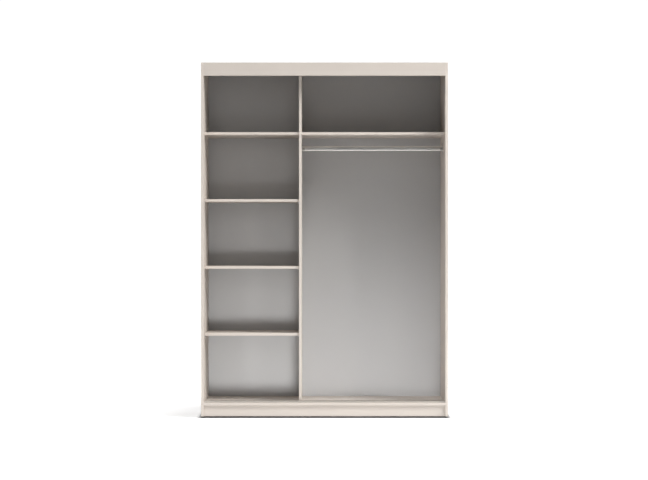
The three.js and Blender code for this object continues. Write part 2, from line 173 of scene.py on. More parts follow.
def make_laminate():
    """Matt melamine: an even beige with a fine pearled surface and faint handling marks."""
    s = Surface("laminate", BEIGE, 0.48)
    s.shader.inputs["Specular IOR Level"].default_value = 0.35
    cloud = s.spread(s.noise(2.5, 3.0), 0.0, 1.0, 0.3, 0.7)
    speck = s.spread(s.noise(1400.0, 2.0), 0.0, 1.0, 0.35, 0.65)
    shade = s.sum(s.spread(cloud, 0.0, 0.55), s.spread(speck, 0.0, 0.45))
    s.colour(s.blend(shade, tinted(BEIGE, 0.972), tinted(BEIGE, 1.026)))
    marks = s.noise((3.0, 3.0, 1.2), 5.0, 0.65)
    s.rough(s.sum(s.spread(marks, 0.42, 0.55, 0.35, 0.7), s.spread(speck, -0.02, 0.02)))
    s.bump(s.sum(s.noise(1100.0, 3.0, 0.6), s.spread(s.cells(700.0), 0.0, 0.5)), 0.05 * MM, 0.6)
    return s.material


def make_edge_band():
    """The plastic band glued to the front edges: a shade smoother, with fine planing lines, and paler
    than the faces as painted light.
    """
    # painted light: the band's beige is 9% paler than the board faces, so the front edges read brighter
    light = tinted(BEIGE, 1.09)
    s = Surface("edge_band", light, 0.38)
    streak = s.noise((900.0, 900.0, 900.0), 2.0)
    s.colour(s.blend(streak, tinted(light, 0.985), tinted(light, 1.02)))
    s.rough(s.spread(s.noise(14.0, 4.0, 0.6), 0.30, 0.46, 0.3, 0.7))
    s.bump(s.noise(1800.0, 2.0), 0.03 * MM, 0.5)
    return s.material


def make_chipboard():
    """Sawn chipboard on the edges that no band covers: pressed chips with pores between."""
    brown = (0.42, 0.29, 0.165)
    s = Surface("chipboard", brown, 0.85)
    chips = s.cells((320.0, 320.0, 520.0), "Color")
    pores = s.noise(620.0, 4.0, 0.7)
    tone = s.sum(s.spread(chips, 0.0, 0.7), s.spread(pores, 0.0, 0.5, 0.35, 0.65))
    s.colour(s.blend(tone, tinted(brown, 0.55), tinted(brown, 1.5)))
    s.rough(s.spread(pores, 0.75, 0.95))
    s.bump(s.sum(s.spread(s.cells(420.0), 0.0, 0.6), pores), 0.35 * MM)
    return s.material


def make_hardboard():
    """Thin fibreboard: pale grey lacquer on the face to the front, bare brown fibre behind."""
    brown = (0.235, 0.145, 0.080)
    s = Surface("hardboard", PALE_GREY, 0.5)
    normal = s.add("ShaderNodeNewGeometry").outputs["True Normal"]
    facing = s.add("ShaderNodeSeparateXYZ", Vector=normal)
    bare = s.spread(facing.outputs["Y"], 0.0, 1.0, -0.6, -0.4)
    fibre = s.noise((420.0, 420.0, 160.0), 5.0, 0.7)
    cloud = s.noise(5.0, 3.0)
    lacquer = s.blend(cloud, tinted(PALE_GREY, 0.98), tinted(PALE_GREY, 1.02))
    flecks = s.sum(s.spread(fibre, 0.0, 0.8, 0.3, 0.7), s.spread(cloud, 0.0, 0.3))
    back = s.blend(flecks, tinted(brown, 0.68), tinted(brown, 1.45))
    s.colour(s.blend(bare, lacquer, back))
    s.rough(s.spread(bare, 0.48, 0.9))
    weave = s.sum(grid_line(s, "X"), grid_line(s, "Z"), "MAXIMUM")
    rough_side = s.sum(s.spread(weave, 0.0, 0.7), fibre)
    fine_side = s.spread(s.noise(900.0, 2.0), 0.0, 0.12)
    height = s.add("ShaderNodeMix", Factor=bare)
    s.feed(height.inputs[2], fine_side)
    s.feed(height.inputs[3], rough_side)
    s.bump(height.outputs[0], 0.12 * MM)
    return s.material


SCREEN_PITCH = 1.6 * MM


def grid_line(s, axis):
    """Thin raised lines across an axis, as the press screen leaves them."""
    split = s.add("ShaderNodeSeparateXYZ", Vector=s.place)
    wave = s.sum(split.outputs[axis], math.tau / SCREEN_PITCH, "MULTIPLY")
    return s.spread(s.sum(wave, 0.0, "SINE"), 0.0, 1.0, 0.4, 1.0)


def make_anodised():
    """Extruded aluminium, satin anodised in pale champagne, with its drawing lines."""
    metal = (0.70, 0.655, 0.60)
    s = Surface("anodised", metal, 0.38, 0.85)
    lines = s.noise((2.0, 2600.0, 2600.0), 2.0)
    s.colour(s.blend(lines, tinted(metal, 0.95), tinted(metal, 1.05)))
    s.rough(s.spread(s.noise((1.5, 900.0, 900.0), 3.0), 0.32, 0.46, 0.3, 0.7))
    s.bump(lines, 0.02 * MM, 0.4)
    return s.material


def make_chrome():
    """Satin chrome plate on drawn tube: soft reflections, faint draw marks and smears."""
    metal = (0.90, 0.885, 0.86)
    s = Surface("chrome", metal, 0.34, 1.0)
    smear = s.noise(22.0, 5.0, 0.7)
    s.rough(s.spread(smear, 0.28, 0.42, 0.35, 0.75))
    s.colour(s.blend(s.noise((3.0, 1400.0, 1400.0)), tinted(metal, 0.97), tinted(metal, 1.02)))
    s.bump(s.noise((6.0, 1200.0, 1200.0)), 0.008 * MM, 0.4)
    return s.material


def make_cast_nickel():
    """Nickel plate on a zinc casting, softly pitted."""
    metal = (0.60, 0.59, 0.565)
    s = Surface("cast_nickel", metal, 0.3, 1.0)
    pits = s.noise(700.0, 4.0, 0.6)
    s.colour(s.blend(pits, tinted(metal, 0.93), tinted(metal, 1.05)))
    s.rough(s.spread(s.noise(90.0, 4.0), 0.24, 0.42, 0.3, 0.7))
    s.bump(pits, 0.03 * MM, 0.7)
    return s.material


def make_zinc_plate():
    """Bright zinc on steel screws: bluish, with warm stains."""
    cool = (0.56, 0.585, 0.61)
    s = Surface("zinc_plate", cool, 0.32, 1.0)
    s.colour(s.blend(s.spread(s.noise(160.0, 3.0), 0.0, 1.0, 0.4, 0.7), cool, (0.60, 0.575, 0.50)))
    s.rough(s.spread(s.noise(500.0, 4.0), 0.26, 0.44, 0.3, 0.7))
    s.bump(s.noise(1500.0, 3.0), 0.02 * MM, 0.6)
    return s.material


def make_plastic(name, colour, roughness):
    """Moulded plastic with a fine spark-eroded grain."""
    s = Surface(name, colour, roughness)
    grain = s.noise(1900.0, 3.0, 0.6)
    s.colour(s.blend(s.noise(60.0, 3.0), tinted(colour, 0.94), tinted(colour, 1.06)))
    s.rough(s.spread(grain, roughness - 0.06, roughness + 0.08))
    s.bump(grain, 0.03 * MM, 0.6)
    return s.material


LAMINATE = make_laminate()
EDGE_BAND = make_edge_band()
CHIPBOARD = make_chipboard()
HARDBOARD = make_hardboard()
ANODISED = make_anodised()
CHROME = make_chrome()
CAST_NICKEL = make_cast_nickel()
ZINC_PLATE = make_zinc_plate()
CAP_PLASTIC = make_plastic("cap_plastic", tinted(BEIGE, 1.02), 0.42)
GLIDE_PLASTIC = make_plastic("glide_plastic", (0.022, 0.021, 0.020), 0.5)

# ---------------------------------------------------------------- mesh helpers


# Degrees: edges that bend less than this are shaded smooth
TURNED, DRAWN, CAST = 35, 30, 40


def make_object(name, bm, materials, body, smooth):
    """Turns a bmesh into a named object that rides on a body."""
    bmesh.ops.recalc_face_normals(bm, faces=bm.faces)
    mesh = bpy.data.meshes.new(name)
    bm.to_mesh(mesh)
    bm.free()
    for material in materials:
        mesh.materials.append(material)
    soften(mesh, smooth)
    obj = bpy.data.objects.new(name, mesh)
    bpy.context.scene.collection.objects.link(obj)
    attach(obj, body)
    return obj


def make_piece(name, bm, materials, nodes, smooth=None):
    """A piece that stands for CAD nodes: it rides on their body, and they are hidden."""
    obj = make_object(name, bm, materials, BODY_OF[nodes[0]], smooth)
    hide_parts(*nodes)


def make_trim(name, bm, materials, beside, smooth=None):
    """A small piece that stands for no CAD node and rides with the one that it is fixed to."""
    make_object(name, bm, materials, BODY_OF[beside], smooth)


def soften(mesh, smooth):
    """Smooth shading except across edges sharper than the given number of degrees."""
    if smooth is not None:
        mesh.polygons.foreach_set("use_smooth", [True] * len(mesh.polygons))
        mesh.set_sharp_from_angle(angle=math.radians(smooth))


def pointing(start, direction):
    """A matrix that sets a shape made along +Z at a start, to run along a direction."""
    side = X if abs(direction.z) > 0.5 else Z
    other = direction.cross(side)
    rotation = Matrix((side, other, direction)).transposed().to_4x4()
    return Matrix.Translation(start) @ rotation


def add_box(bm, low, high):
    """Adds a box between two corners and returns its vertices."""
    place = Matrix.Translation((low + high) / 2) @ Matrix.Diagonal((*(high - low), 1.0))
    return bmesh.ops.create_cube(bm, size=1.0, matrix=place)["verts"]


def edges_of(verts):
    return list({edge for vert in verts for edge in vert.link_edges})


def bevel(bm, edges, radius, segments):
    bmesh.ops.bevel(bm, geom=edges, offset=radius, offset_type="OFFSET", segments=segments,
                    profile=0.5, affect="EDGES")


def add_turned(bm, profile, place, segments=32):
    """Adds a shape turned about its own +Z axis from [radius, height] points in millimetres.

    The profile starts and ends on the axis, or closes on itself."""
    closed = profile[0] == profile[-1]
    rings = []
    for radius, height in profile[:-1] if closed else profile:
        if radius == 0:
            rings.append([bm.verts.new(place @ Vector((0, 0, height * MM)))])
            continue
        ring = []
        for step in range(segments):
            angle = math.tau * step / segments
            point = Vector((radius * math.cos(angle), radius * math.sin(angle), height)) * MM
            ring.append(bm.verts.new(place @ point))
        rings.append(ring)
    pairs = list(zip(rings, rings[1:]))
    if closed:
        pairs.append((rings[-1], rings[0]))
    for first, second in pairs:
        for step in range(segments):
            following = (step + 1) % segments
            corners = [first[step % len(first)], first[following % len(first)],
                       second[following % len(second)], second[step % len(second)]]
            bm.faces.new(list(dict.fromkeys(corners)))


def add_extruded(bm, outline, place, length, rim=0.0, segments=2):
    """Adds a prism: an outline of (x, y) points in metres, extruded along +Z, with softened rims."""
    lower = [bm.verts.new(place @ Vector((x, y, 0))) for x, y in outline]
    upper = [bm.verts.new(place @ Vector((x, y, length))) for x, y in outline]
    caps = [bm.faces.new(lower), bm.faces.new(upper)]
    count = len(outline)
    for step in range(count):
        following = (step + 1) % count
        bm.faces.new([lower[step], lower[following], upper[following], upper[step]])
    if rim:
        bevel(bm, list({edge for cap in caps for edge in cap.edges}), rim, segments)


def add_copies(bm, mesh, places):
    """Adds a copy of a mesh at each place."""
    for place in places:
        known = len(bm.verts)
        bm.from_mesh(mesh)
        bm.verts.ensure_lookup_table()
        for vert in bm.verts[known:]:
            vert.co = place @ vert.co


def combined(bm, cutter_bm, operation="DIFFERENCE", materials=()):
    """The exact boolean of two bmeshes, as a mesh."""
    objects = []
    for source in (bm, cutter_bm):
        bmesh.ops.recalc_face_normals(source, faces=source.faces)
        mesh = bpy.data.meshes.new("working")
        source.to_mesh(mesh)
        source.free()
        for material in materials:
            mesh.materials.append(material)
        objects.append(bpy.data.objects.new("working", mesh))
        bpy.context.scene.collection.objects.link(objects[-1])
    modifier = objects[0].modifiers.new("join", "BOOLEAN")
    modifier.operation = operation
    modifier.solver = "EXACT"
    modifier.object = objects[1]
    if materials:
        modifier.material_mode = "TRANSFER"
    bpy.context.view_layer.update()
    evaluated = objects[0].evaluated_get(bpy.context.evaluated_depsgraph_get())
    result = bpy.data.meshes.new_from_object(evaluated)
    for obj in objects:
        bpy.data.objects.remove(obj)
    return result


def from_mesh(mesh):
    bm = bmesh.new()
    bm.from_mesh(mesh)
    return bm


def arc(centre, radius, start, end, steps):
    """Points along an arc, in degrees, both ends included."""
    points = []
    for step in range(steps + 1):
        angle = math.radians(start + (end - start) * step / steps)
        points.append((centre[0] + radius * math.cos(angle), centre[1] + radius * math.sin(angle)))
    return points


# ---------------------------------------------------------------- boards

BAND = 1.0 * MM  # thickness of the glued edge band
BAND_ROUND = 0.7 * MM  # radius of its outer edges
SOFTENED = 0.15 * MM  # bevel left on a board's other edges
LAMINATE_FACE, RAW_FACE, BAND_FACE = 0, 1, 2
BOARD_MATERIALS = [LAMINATE, CHIPBOARD, EDGE_BAND]

FRONT, TOP, BOTTOM = (1, -1), (2, 1), (2, -1)  # axis, and which way along it

# Thin axis of each board, and the edges that carry a band
BOARDS = {
    "left_side_panel": (0, [FRONT, TOP]),
    "right_side_panel": (0, [FRONT, TOP]),
    "divider_panel": (0, [FRONT]),
    "plinth_support": (0, []),
    "top_fascia": (1, [BOTTOM, TOP]),
    "front_plinth": (1, [BOTTOM]),
    "rear_plinth": (1, []),
    "top_panel": (2, []),
    "bottom_panel": (2, [FRONT]),
    "left_fixed_shelf": (2, [FRONT]),
    "right_fixed_shelf": (2, [FRONT]),
    "lower_left_shelf": (2, [FRONT]),
    "middle_left_shelf": (2, [FRONT]),
    "upper_left_shelf": (2, [FRONT]),
}


def add_band(bm, low, high, axis, sign, thin):
    """A strip of band, round along the outer edges that run with the board."""
    outer = low[axis] if sign < 0 else high[axis]
    verts = add_box(bm, low, high)
    for face in {face for vert in verts for face in vert.link_faces}:
        face.material_index = BAND_FACE
    chosen = []
    for edge in edges_of(verts):
        run = (edge.verts[0].co - edge.verts[1].co).normalized()
        on_outer_face = all(abs(vert.co[axis] - outer) < 1e-6 for vert in edge.verts)
        if on_outer_face and abs(run[thin]) < 0.5:
            chosen.append(edge)
    bevel(bm, chosen, BAND_ROUND, 3)


def add_core(bm, low, high, thin):
    """The chipboard, laminate on its two broad faces and bare on its edges."""
    known = len(bm.faces)
    bevel(bm, edges_of(add_box(bm, low, high)), SOFTENED, 1)
    bm.faces.ensure_lookup_table()
    bm.normal_update()
    for face in bm.faces[known:]:
        face.material_index = LAMINATE_FACE if abs(face.normal[thin]) > 0.5 else RAW_FACE


def board_bmesh(node):
    thin, bands = BOARDS[node]
    low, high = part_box(node)
    bm = bmesh.new()
    for axis, sign in bands:
        band_low, band_high = low.copy(), high.copy()
        if sign < 0:
            low[axis] += BAND
            band_high[axis] = low[axis]
        else:
            high[axis] -= BAND
            band_low[axis] = high[axis]
        add_band(bm, band_low, band_high, axis, sign, thin)
    add_core(bm, low, high, thin)
    return bm


# ---------------------------------------------------------------- cam fittings and long screws

CAM_BORE = 7.5  # radius of the hole that a cam lock turns in, mm
CAM_REACH = 12.3  # and its depth, mm
BOLT_DEPTH = 7.7 * MM  # the bolt's axis, from the lock's open face
SIDES = {"left": -1, "right": 1}
PLACES = ("front", "rear")


def cam_fittings():
    """Node name, board, and which way the bolt and the lock's open face look."""
    rows = []
    for side, sign in SIDES.items():
        for place in PLACES:
            rows.append((f"cam_fitting_top_{side}_{place}", "top_panel", sign, 1))
            rows.append((f"cam_fitting_bottom_{side}_{place}", "bottom_panel", sign, -1))
        for shelf in SIDES:
            rows.append((f"cam_fitting_{shelf}_shelf_{side}", f"{shelf}_fixed_shelf", sign, -1))
    return rows


def lock_middle(node, bolt_sign, face_sign):
    """The middle of a cam lock's open face."""
    low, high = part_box(node)
    half = (high.y - low.y) / 2
    across = high.x - half if bolt_sign < 0 else low.x + half
    return Vector((across, (low.y + high.y) / 2, high.z if face_sign > 0 else low.z))


def make_cam_mesh():
    """A cam lock seen from its open face, which lies at the start: a drum with a cross recess."""
    bm = bmesh.new()
    drum = [(0, 0), (6.4, 0), (7.0, 0.3), (7.2, 0.9), (7.2, 11.6), (6.8, 12), (0, 12)]
    add_turned(bm, drum, Matrix.Identity(4), 48)
    cross = bmesh.new()
    for length, width in ((5.2, 1.1), (1.1, 5.2)):
        add_box(cross, Vector((-length, -width, -1)) * MM, Vector((length, width, 2.4)) * MM)
    return combined(bm, cross)


def add_bolt(bm, middle, direction, depth):
    """The bolt from the lock's middle, in the board's middle plane, into the next board."""
    profile = [(0, 0), (2, 0), (2, 8.2), (3.3, 8.2), (3.3, 23.4), (3.0, 24), (2.4, 24.2),
               (2.4, 34), (1.6, 35), (0, 35)]
    add_turned(bm, profile, pointing(middle - Z * depth, direction), 24)


def build_cam_fittings():
    lock = make_cam_mesh()
    for node, _, bolt_sign, face_sign in cam_fittings():
        middle = lock_middle(node, bolt_sign, face_sign)
        bm = bmesh.new()
        add_copies(bm, lock, [pointing(middle, -Z * face_sign)])
        add_bolt(bm, middle, X * bolt_sign, face_sign * BOLT_DEPTH)
        make_piece(f"{node}_lock", bm, [CAST_NICKEL], [node], TURNED)


def build_divider_screws():
    """Long screws with a hexagon socket in the head."""
    bm = bmesh.new()
    profile = [(0, 0), (4.7, 0), (5, 0.3), (5, 2.5), (3.5, 4), (3.5, 16), (2.5, 17), (2.5, 48),
               (1, 50), (0, 50)]
    add_turned(bm, profile, Matrix.Identity(4), 32)
    socket = bmesh.new()
    add_turned(socket, [(0, -1), (2.3, -1), (2.3, 2.6), (0, 3.2)], Matrix.Identity(4), 6)
    screw = combined(bm, socket)
    for level, sign in (("top", -1), ("bottom", 1)):
        for place in PLACES:
            node = f"divider_screw_{level}_{place}"
            bm = bmesh.new()
            add_copies(bm, screw, [screw_place(node, sign)])
            make_piece(f"{node}_body", bm, [ZINC_PLATE], [node], TURNED)


def screw_place(node, sign):
    """The outer face of a long screw's head, looking along the screw."""
    low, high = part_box(node)
    middle = (low + high) / 2
    return pointing(Vector((middle.x, middle.y, high.z if sign < 0 else low.z)), Z * sign)


def bores_in(board):
    """A cutter for the holes that show in a board: cam locks and the heads of the long screws."""
    cutter = bmesh.new()
    bore = [(0, -1), (CAM_BORE, -1), (CAM_BORE, CAM_REACH), (0, CAM_REACH)]
    for node, holder, bolt_sign, face_sign in cam_fittings():
        if holder == board:
            place = pointing(lock_middle(node, bolt_sign, face_sign), -Z * face_sign)
            add_turned(cutter, bore, place, 48)
    head = [(0, -1), (5.3, -1), (5.3, 2.5), (3.8, 4.2), (3.8, 17), (0, 17)]
    for level, sign in (("top", -1), ("bottom", 1)):
        if board == f"{level}_panel":
            for place in PLACES:
                add_turned(cutter, head, screw_place(f"divider_screw_{level}_{place}", sign), 32)
    for face in cutter.faces:
        face.material_index = RAW_FACE
    return cutter


def build_boards():
    bored = {holder for _, holder, _, _ in cam_fittings()}
    for node in BOARDS:
        bm = board_bmesh(node)
        if node in bored:
            bm = from_mesh(combined(bm, bores_in(node), materials=BOARD_MATERIALS))
        make_piece(f"{node}_board", bm, BOARD_MATERIALS, [node])


def build_cover_caps():
    """Thin plastic caps pressed over the cam locks under the fixed shelves."""
    profile = [(0, 0), (8.5, 0), (8.5, 0.4), (8.1, 0.9), (7.0, 1.2), (0, 1.3)]
    for node, holder, bolt_sign, face_sign in cam_fittings():
        if holder.endswith("_fixed_shelf"):
            middle = lock_middle(node, bolt_sign, face_sign)
            middle.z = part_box(holder)[0].z
            bm = bmesh.new()
            add_turned(bm, profile, pointing(middle, -Z), 48)
            make_trim(f"{node}_cap", bm, [CAP_PLASTIC], holder, TURNED)


# ---------------------------------------------------------------- small screws

SCREW_LENGTH = 14  # mm


def make_screw_mesh(head, shank):
    """A countersunk screw with a cross recess, its head's face at the start. Radii in mm."""
    bm = bmesh.new()
    rim = 0.3
    profile = [(0, 0), (head - 0.1, 0), (head, 0.1), (head, rim), (shank, rim + head - shank),
               (shank, SCREW_LENGTH - 2), (0.3, SCREW_LENGTH), (0, SCREW_LENGTH)]
    add_turned(bm, profile, Matrix.Identity(4), 32)
    cross = bmesh.new()
    arm = head * 0.62
    slot = head * 0.13
    for length_x, length_y in ((arm, slot), (slot, arm)):
        corner = Vector((length_x, length_y, head * 0.35)) * MM
        add_box(cross, Vector((-length_x, -length_y, -1)) * MM, corner)
    return combined(bm, cross)


def countersinks(places, through, head, shank):
    """A cutter for countersunk holes that go right through a thin wall."""
    cutter = bmesh.new()
    rim = 0.35
    profile = [(0, -1), (head + 0.15, -1), (head + 0.15, rim), (shank + 0.15, rim + head - shank),
               (shank + 0.15, through), (0, through)]
    for place in places:
        add_turned(cutter, profile, place, 32)
    return cutter


# ---------------------------------------------------------------- back sheets

SHEET_SCREW = {"head": 3.0, "shank": 1.25}
NEXT_TO_JOINT = 4.5 * MM  # screws beside the joint of the two sheets, from the divider's middle
UPRIGHT_SCREWS = (0.130, 0.620, 1.110, 1.600, 2.090)  # heights, up both long edges


def sheet_screw_places():
    """For each sheet, a place for every screw: up both long edges, and across it at three levels."""
    left_low, left_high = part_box("left_side_panel")
    right_low, right_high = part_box("right_side_panel")
    divider_low, divider_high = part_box("divider_panel")
    shelf_low, shelf_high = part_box("right_fixed_shelf")
    top_low, top_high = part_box("top_panel")
    bottom_low, bottom_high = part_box("bottom_panel")
    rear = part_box("left_back_sheet")[1].y
    joint = (divider_low.x + divider_high.x) / 2
    levels = [(low.z + high.z) / 2 for low, high in
              ((bottom_low, bottom_high), (shelf_low, shelf_high), (top_low, top_high))]
    left_spots = [((left_high.x + divider_low.x) / 2, level) for level in levels]
    width = right_low.x - divider_high.x
    right_spots = [(divider_high.x + width * third / 3, level) for level in levels for third in (1, 2)]
    for height in UPRIGHT_SCREWS:
        left_spots += [((left_low.x + left_high.x) / 2, height), (joint - NEXT_TO_JOINT, height)]
        right_spots += [((right_low.x + right_high.x) / 2, height), (joint + NEXT_TO_JOINT, height)]
    spots = {"left_back_sheet": left_spots, "right_back_sheet": right_spots}
    return {node: [pointing(Vector((x, rear, z)), -Y) for x, z in rows] for node, rows in spots.items()}


def build_back_sheets():
    screw = make_screw_mesh(**SHEET_SCREW)
    for node, places in sheet_screw_places().items():
        bm = bmesh.new()
        bevel(bm, edges_of(add_box(bm, *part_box(node))), 0.25 * MM, 1)
        cutter = countersinks(places, 4, **SHEET_SCREW)
        make_piece(f"{node}_panel", from_mesh(combined(bm, cutter)), [HARDBOARD], [node])
        screws = bmesh.new()
        add_copies(screws, screw, places)
        make_trim(f"{node}_screws", screws, [ZINC_PLATE], node, TURNED)


# ---------------------------------------------------------------- door tracks

TRACK_WALL = 2 * MM
DOOR_PITCH = 36 * MM
TRACK_LIP = 8 * MM
TRACK_SCREW = {"head": 3.5, "shank": 1.75}
TRACK_SCREWS = ((-0.600, 0), (-0.060, 1), (0.600, 0))  # across, and in which groove
RIB_TIP = 0.5 * MM


def bottom_track_outline(low, high):
    """Two open grooves between three ribs, as (depth, height) points."""
    floor = low.z + TRACK_WALL
    outline = [(low.y, low.z), (high.y, low.z)]
    for rib in (2, 1, 0):
        near = low.y + rib * DOOR_PITCH
        far = near + TRACK_WALL
        if rib < 2:
            outline.append((far, floor))
        outline += arc((far - RIB_TIP, high.z - RIB_TIP), RIB_TIP, 0, 90, 4)
        outline += arc((near + RIB_TIP, high.z - RIB_TIP), RIB_TIP, 90, 180, 4)
        if rib > 0:
            outline.append((near, floor))
    return outline


def top_track_outline(low, high):
    """Two channels side by side, each open below between two lips, as (depth, height) points."""
    roof = high.z - TRACK_WALL
    lip_top = low.z + TRACK_WALL
    outline = [(high.y, high.z), (low.y, high.z)]
    for web in (0, 1, 2):
        near = low.y + web * DOOR_PITCH
        far = near + TRACK_WALL
        if web > 0:
            outline += [(near, roof), (near, lip_top), (near - TRACK_LIP, lip_top)]
            outline += [(near - TRACK_LIP, low.z)]
        else:
            outline.append((near, low.z))
        if web < 2:
            outline += [(far + TRACK_LIP, low.z), (far + TRACK_LIP, lip_top)]
            outline += [(far, lip_top), (far, roof)]
        else:
            outline.append((far, low.z))
    return outline


def build_track(node, outline_of, screw_height, screw_direction):
    low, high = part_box(node)
    bm = bmesh.new()
    along = Matrix((Y, Z, X)).transposed().to_4x4()
    add_extruded(bm, outline_of(low, high), Matrix.Translation((low.x, 0, 0)) @ along, high.x - low.x)
    first_line = low.y + (DOOR_PITCH + TRACK_WALL) / 2
    places = [pointing(Vector((x, first_line + line * DOOR_PITCH, screw_height)), screw_direction)
              for x, line in TRACK_SCREWS]
    cutter = countersinks(places, 3, **TRACK_SCREW)
    make_piece(f"{node}_profile", from_mesh(combined(bm, cutter)), [ANODISED], [node], DRAWN)
    screws = bmesh.new()
    add_copies(screws, make_screw_mesh(**TRACK_SCREW), places)
    make_trim(f"{node}_screws", screws, [ZINC_PLATE], node, TURNED)


def build_tracks():
    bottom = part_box("bottom_track")[0].z + TRACK_WALL
    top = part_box("top_track")[1].z - TRACK_WALL
    build_track("bottom_track", bottom_track_outline, bottom, -Z)
    build_track("top_track", top_track_outline, top, Z)


# ---------------------------------------------------------------- hanging rod and brackets

ROD_WALL = 1.2 * MM
ROD_CLEARANCE = 0.3 * MM
BRACKET_PLATE = 2.5 * MM
BRACKET_WALL = 2.0 * MM
BRACKET_CORNER = 6 * MM
CUP_TOP = 5 * MM
CUP_SUNK = 1 * MM  # the cup starts this far inside the plate
BRACKET_SCREW = {"head": 3.5, "shank": 1.75}


def rod_section():
    """Middle of the rod, its half width, and half the length of its straight flanks."""
    low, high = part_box("hanging_rod")
    half_width = (high.y - low.y) / 2
    return (low + high) / 2, half_width, (high.z - low.z) / 2 - half_width


def oval(radius, straight, steps=20):
    """An upright oval as (depth, height) points about its middle."""
    return arc((0, straight), radius, 0, 180, steps) + arc((0, -straight), radius, 180, 360, steps)


def build_rod():
    """A tube: rings of the oval at each station, joined in a loop, outside and inside."""
    low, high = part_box("hanging_rod")
    middle, half_width, straight = rod_section()
    edge = 0.3 * MM
    stations = [
        (low.x + edge, 0), (high.x - edge, 0), (high.x, -edge), (high.x, edge - ROD_WALL),
        (high.x - edge, -ROD_WALL), (low.x + edge, -ROD_WALL), (low.x, edge - ROD_WALL), (low.x, -edge),
    ]
    bm = bmesh.new()
    rings = []
    for x, grow in stations:
        outline = oval(half_width + grow, straight)
        rings.append([bm.verts.new((x, middle.y + y, middle.z + z)) for y, z in outline])
    for first, second in zip(rings, rings[1:] + rings[:1]):
        for step in range(len(first)):
            following = (step + 1) % len(first)
            bm.faces.new([first[step], first[following], second[following], second[step]])
    make_piece("hanging_rod_tube", bm, [CHROME], ["hanging_rod"], DRAWN)


def cup_outline():
    """The open-topped cup, as (depth, height) points about the rod's middle."""
    _, half_width, straight = rod_section()
    inner = half_width + ROD_CLEARANCE
    outer = inner + BRACKET_WALL
    tip = BRACKET_WALL / 2
    outline = arc((0, -straight), outer, 180, 360, 24)
    outline += arc((inner + tip, CUP_TOP - tip), tip, 0, 180, 8)
    outline += arc((0, -straight), inner, 360, 180, 24)
    outline += arc((-inner - tip, CUP_TOP - tip), tip, 0, 180, 8)
    return outline


def plate_outline(low, high, middle):
    """The rounded plate on the panel, as (depth, height) points about the rod's middle."""
    right, top = high.y - middle.y, high.z - middle.z
    left, bottom = low.y - middle.y, low.z - middle.z
    corner = BRACKET_CORNER
    return (arc((right - corner, top - corner), corner, 0, 90, 8)
            + arc((left + corner, top - corner), corner, 90, 180, 8)
            + arc((left + corner, bottom + corner), corner, 180, 270, 8)
            + arc((right - corner, bottom + corner), corner, 270, 360, 8))


def build_bracket(side, direction):
    node = f"{side}_rod_bracket"
    low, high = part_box(node)
    middle = rod_section()[0]
    face = low.x if direction > 0 else high.x
    outward = Matrix((Y * direction, Z, X * direction)).transposed().to_4x4()
    place = Matrix.Translation((face, middle.y, middle.z)) @ outward
    plate = bmesh.new()
    add_extruded(plate, plate_outline(low, high, middle), place, BRACKET_PLATE, 0.5 * MM)
    cup = bmesh.new()
    cup_place = place @ Matrix.Translation((0, 0, CUP_SUNK))
    add_extruded(cup, cup_outline(), cup_place, high.x - low.x - CUP_SUNK, 0.4 * MM)
    joined = from_mesh(combined(plate, cup, "UNION"))
    screws = [f"{side}_bracket_screw_{level}" for level in ("upper", "lower")]
    places = [bracket_screw_place(screw, direction) for screw in screws]
    drilled = combined(joined, countersinks(places, 4, **BRACKET_SCREW))
    make_piece(f"{node}_casting", from_mesh(drilled), [CAST_NICKEL], [node], CAST)
    screw_mesh = make_screw_mesh(**BRACKET_SCREW)
    for screw, screw_at in zip(screws, places):
        bm = bmesh.new()
        add_copies(bm, screw_mesh, [screw_at])
        make_piece(f"{screw}_body", bm, [ZINC_PLATE], [screw], TURNED)


def bracket_screw_place(node, direction):
    """The outer face of a bracket screw's head, looking into the panel."""
    low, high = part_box(node)
    middle = (low + high) / 2
    start = Vector((high.x if direction > 0 else low.x, middle.y, middle.z))
    return pointing(start, -X * direction)


# ---------------------------------------------------------------- shelf pins and glides


def build_shelf_pins():
    """Turned steel pins: a stem in the panel and a thicker stub under the shelf."""
    profile = [(0, 0), (2.1, 0), (2.5, 0.5), (2.5, 8), (3.3, 8), (3.5, 8.2), (3.5, 16.2),
               (3.0, 16.9), (0, 17)]
    for shelf in ("lower", "middle", "upper"):
        for side, sign in SIDES.items():
            for place in PLACES:
                node = f"shelf_pin_{shelf}_{side}_{place}"
                low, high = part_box(node)
                middle = (low + high) / 2
                start = Vector((low.x if sign < 0 else high.x, middle.y, middle.z))
                bm = bmesh.new()
                add_turned(bm, profile, pointing(start, -X * sign), 32)
                make_piece(f"{node}_turned", bm, [ZINC_PLATE], [node], TURNED)


def build_glides():
    """Round plastic feet with the nail's head sunk in the sole."""
    foot = [(0, 1.6), (3.2, 1.6), (3.4, 1.4), (3.6, 0.2), (3.8, 0), (6.8, 0), (7.4, 0.2),
            (7.8, 0.7), (8, 1.4), (8, 7.4), (7.6, 8), (0, 8)]
    nail = [(0, 1.0), (2.8, 1.0), (3.0, 1.2), (3.0, 1.8), (1.2, 1.9), (1.2, 24), (0, 26)]
    for side in ("left", "right", "support"):
        for place in PLACES:
            node = f"glide_{side}_{place}"
            low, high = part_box(node)
            middle = (low + high) / 2
            at = Matrix.Translation((middle.x, middle.y, low.z))
            bm = bmesh.new()
            add_turned(bm, foot, at, 48)
            known = len(bm.faces)
            add_turned(bm, nail, at, 24)
            bm.faces.ensure_lookup_table()
            for face in bm.faces[known:]:
                face.material_index = 1
            make_piece(f"{node}_foot", bm, [GLIDE_PLASTIC, ZINC_PLATE], [node], TURNED)


# ---------------------------------------------------------------- stage, lights and camera

CAMERA_DISTANCE = 14.0  # from the front edges
VIEW_WIDTH = 3.935  # metres across the picture at the front edges
CAMERA_ASIDE = -0.003
CAMERA_RISE = 0.001
SENSOR = 36.0
CAMERA_SIGHT = 200.0  # how far it sees

